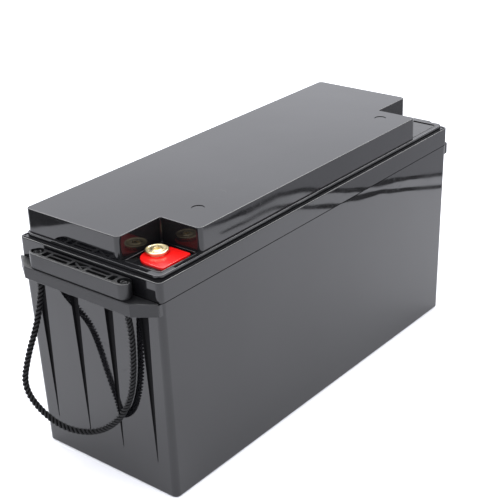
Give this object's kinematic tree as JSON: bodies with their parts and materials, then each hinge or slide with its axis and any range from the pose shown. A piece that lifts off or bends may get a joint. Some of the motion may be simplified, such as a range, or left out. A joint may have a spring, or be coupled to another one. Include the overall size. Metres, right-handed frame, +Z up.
{
  "type": "battery pack",
  "caption": "Long black battery pack: case with wedge-grooved ends, lift-off lid with raised notched cover, screw terminals in corner wells, rope loop handles and prismatic cells inside.",
  "frame": {"origin": "centre of the case's underside, measured without the rope loops", "axes": "+X along the case, from the positive terminal's end to the negative's; +Y across it, away from the terminals' side; +Z up"},
  "size_m": [0.545, 0.1684, 0.24],
  "materials": {
    "case_plastic": "polished black ABS",
    "red_plastic": "polished red",
    "black_pad_plastic": "polished black",
    "terminal_brass": "bright turned brass",
    "seal_rubber": "matt moulded rubber",
    "rope_fibre": "twisted three strand polypropylene",
    "cell_film": "blue shrink film",
    "cell_aluminium": "rolled and milled",
    "spacer_board": "glass fibre board",
    "strap_steel": "rolled strip",
    "foam": "closed cell foam",
    "busbar_copper": "tinned or bare copper",
    "unit_board": "solder mask over copper",
    "unit_plastic": "fine spark texture",
    "positive_lead_jacket": "silicone jacket",
    "negative_lead_jacket": "silicone jacket"
  },
  "bodies": {
    "root": {"case_box": "case_plastic", "handle_bar_left": "case_plastic", "handle_bar_right": "case_plastic", "rope_ends_left": "rope_fibre", "rope_ends_right": "rope_fibre", "cell_1": "cell_film", "cell_2": "cell_film", "cell_3": "cell_film", "cell_4": "cell_film", "cell_5": "cell_film", "cell_6": "cell_film", "cell_7": "cell_film", "cell_8": "cell_film", "cell_poles": "cell_aluminium", "cell_vents": "cell_aluminium", "end_plate_left": "cell_aluminium", "end_plate_right": "cell_aluminium", "unit_heat_sink": "cell_aluminium", "unit_bracket": "cell_aluminium", "cell_spacers": "spacer_board", "strap_bands": "strap_steel", "busbar_screws": "strap_steel", "unit_screws": "strap_steel", "base_pad": "foam", "side_foam_pads": "foam", "end_foam": "foam", "bay_foam_block": "foam", "pack_positive_busbar": "busbar_copper", "series_link_1": "busbar_copper", "series_link_2": "busbar_copper", "series_link_3": "busbar_copper", "pack_negative_busbar": "busbar_copper", "busbar_lugs": "busbar_copper", "unit_board": "unit_board", "unit_transistors": "unit_board", "unit_cover": "unit_plastic", "sense_connector": "unit_plastic", "positive_lead": "positive_lead_jacket", "negative_lead": "negative_lead_jacket", "unit_lead": "negative_lead_jacket", "sense_harness": "negative_lead_jacket"},
    "lid": {"lid": "case_plastic", "lid_seal": "seal_rubber", "top_cover": "case_plastic", "terminal_pad_positive": "red_plastic", "terminal_pad_negative": "black_pad_plastic", "terminal_insert_positive": "terminal_brass", "terminal_insert_negative": "terminal_brass", "terminal_o_rings": "seal_rubber", "terminal_nuts": "terminal_brass", "terminal_lug_positive": "busbar_copper", "terminal_lug_negative": "busbar_copper"},
    "positive_washer": {"terminal_washer_positive": "terminal_brass"},
    "positive_bolt": {"terminal_bolt_positive": "terminal_brass"},
    "negative_washer": {"terminal_washer_negative": "terminal_brass"},
    "negative_bolt": {"terminal_bolt_negative": "terminal_brass"},
    "rope_left": {"rope_handle_left": "rope_fibre"},
    "rope_right": {"rope_handle_right": "rope_fibre"}
  },
  "joints": [
    {"name": "lid_lift", "type": "slide", "parent": "root", "child": "lid", "axis": [0, 0, 1], "range_m": [0, 0.07], "deforming": ["positive_lead", "negative_lead"]},
    {"name": "positive_bolt_rise", "type": "slide", "parent": "lid", "child": "positive_washer", "axis": [0, 0, 1], "range_m": [0, 0.01125]},
    {"name": "positive_bolt_turn", "type": "hinge", "parent": "positive_washer", "child": "positive_bolt", "pos_m": [-0.188, -0.046, 0.2183], "axis": [0, 0, 1], "range_deg": [0, 3240]},
    {"name": "negative_bolt_rise", "type": "slide", "parent": "lid", "child": "negative_washer", "axis": [0, 0, 1], "range_m": [0, 0.01125]},
    {"name": "negative_bolt_turn", "type": "hinge", "parent": "negative_washer", "child": "negative_bolt", "pos_m": [0.188, -0.046, 0.2183], "axis": [0, 0, 1], "range_deg": [0, 3240]},
    {"name": "rope_left_swing", "type": "hinge", "parent": "root", "child": "rope_left", "pos_m": [-0.2345, 0, 0.1809], "axis": [0, 1, 0], "range_deg": [0, 70]},
    {"name": "rope_right_swing", "type": "hinge", "parent": "root", "child": "rope_right", "pos_m": [0.2345, 0, 0.1809], "axis": [0, -1, 0], "range_deg": [0, 70]}
  ],
  "couplings": [
    {"joint": "positive_bolt_rise", "follows": "positive_bolt_turn", "m_per_rad": 0.00019894},
    {"joint": "negative_bolt_rise", "follows": "negative_bolt_turn", "m_per_rad": 0.00019894}
  ]
}
